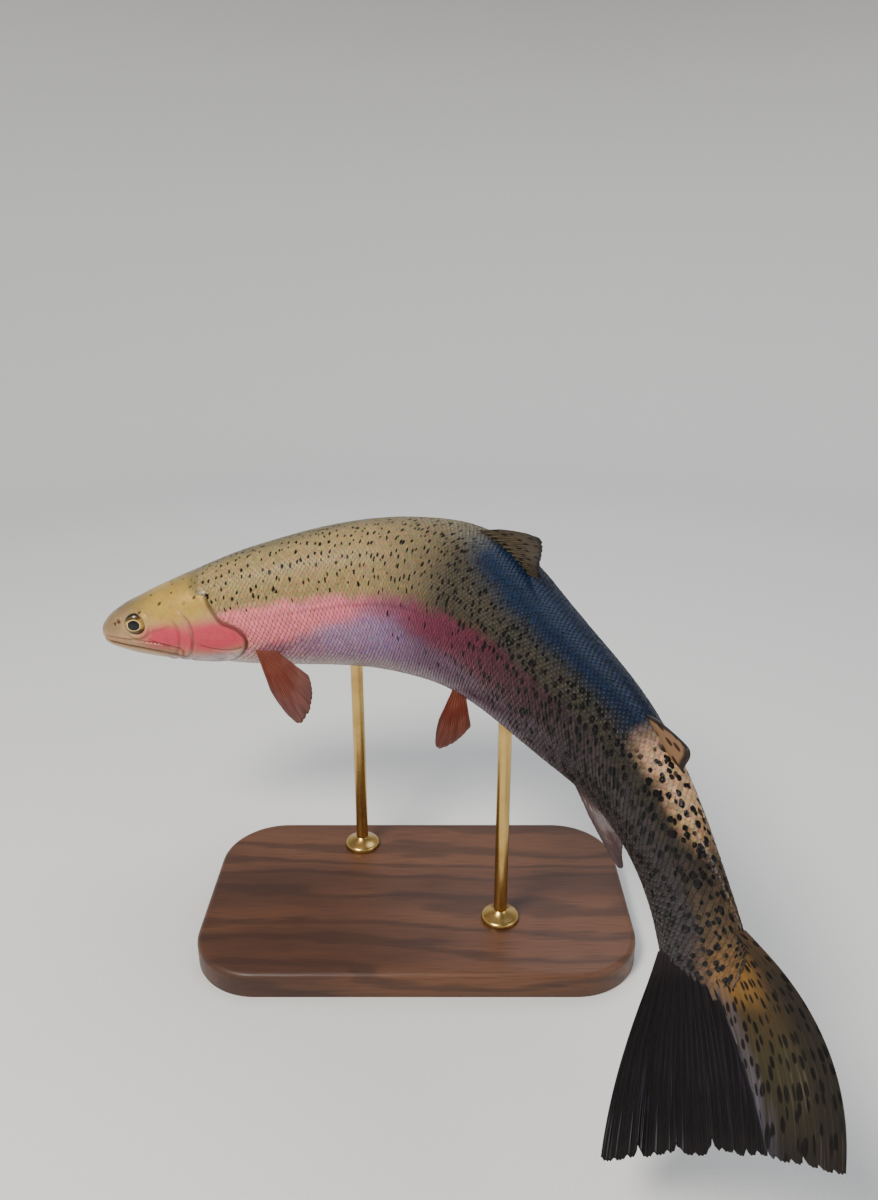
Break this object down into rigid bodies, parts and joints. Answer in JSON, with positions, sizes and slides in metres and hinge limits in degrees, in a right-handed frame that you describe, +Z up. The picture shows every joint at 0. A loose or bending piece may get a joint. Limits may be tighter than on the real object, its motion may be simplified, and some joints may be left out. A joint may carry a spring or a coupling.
{
  "type": "rainbow trout display model",
  "caption": "Life-size rainbow trout as a still museum model, body bent and tail swept to its left, on a flat wooden base with two brass rods.",
  "frame": {"origin": "centre of the underside of the stand's base", "axes": "+Z up, square to the base; the head points to -X along the base's long side; the tail sweeps towards -Y"},
  "size_m": [0.3909, 0.4639, 0.2967],
  "materials": {
    "head_skin": "painted resin, wet-looking, olive bronze with a rosy cheek",
    "jaw_skin": "painted resin, wet-looking, pale olive to white",
    "gill_skin": "painted resin, wet-looking, rosy red with a metallic sheen",
    "eye": "clear glass eye with a gold ring and a black pupil",
    "flank_skin": "scaled painted resin, olive back, rosy band, silver belly, black spots",
    "fin": "thin rayed fin, olive brown with rows of black spots",
    "belly_fin": "thin rayed fin, rosy brown with a pale leading edge",
    "stand_wood": "dark walnut, satin varnish",
    "stand_brass": "satin brass"
  },
  "bodies": {
    "root": {"head": "head_skin", "lower_jaw": "jaw_skin", "gill_cover_left": "gill_skin", "gill_cover_right": "gill_skin", "eye_left": "eye", "eye_right": "eye", "trunk_front": "flank_skin", "trunk_rear": "flank_skin", "tail_stalk": "flank_skin", "tail_fin": "fin", "dorsal_fin": "fin", "adipose_fin": "fin", "anal_fin": "belly_fin", "pelvic_fin_left": "belly_fin", "pelvic_fin_right": "belly_fin", "pectoral_fin_left": "belly_fin", "pectoral_fin_right": "belly_fin", "stand_base": "stand_wood", "stand_rod_front": "stand_brass", "stand_rod_rear": "stand_brass"}
  },
  "joints": []
}
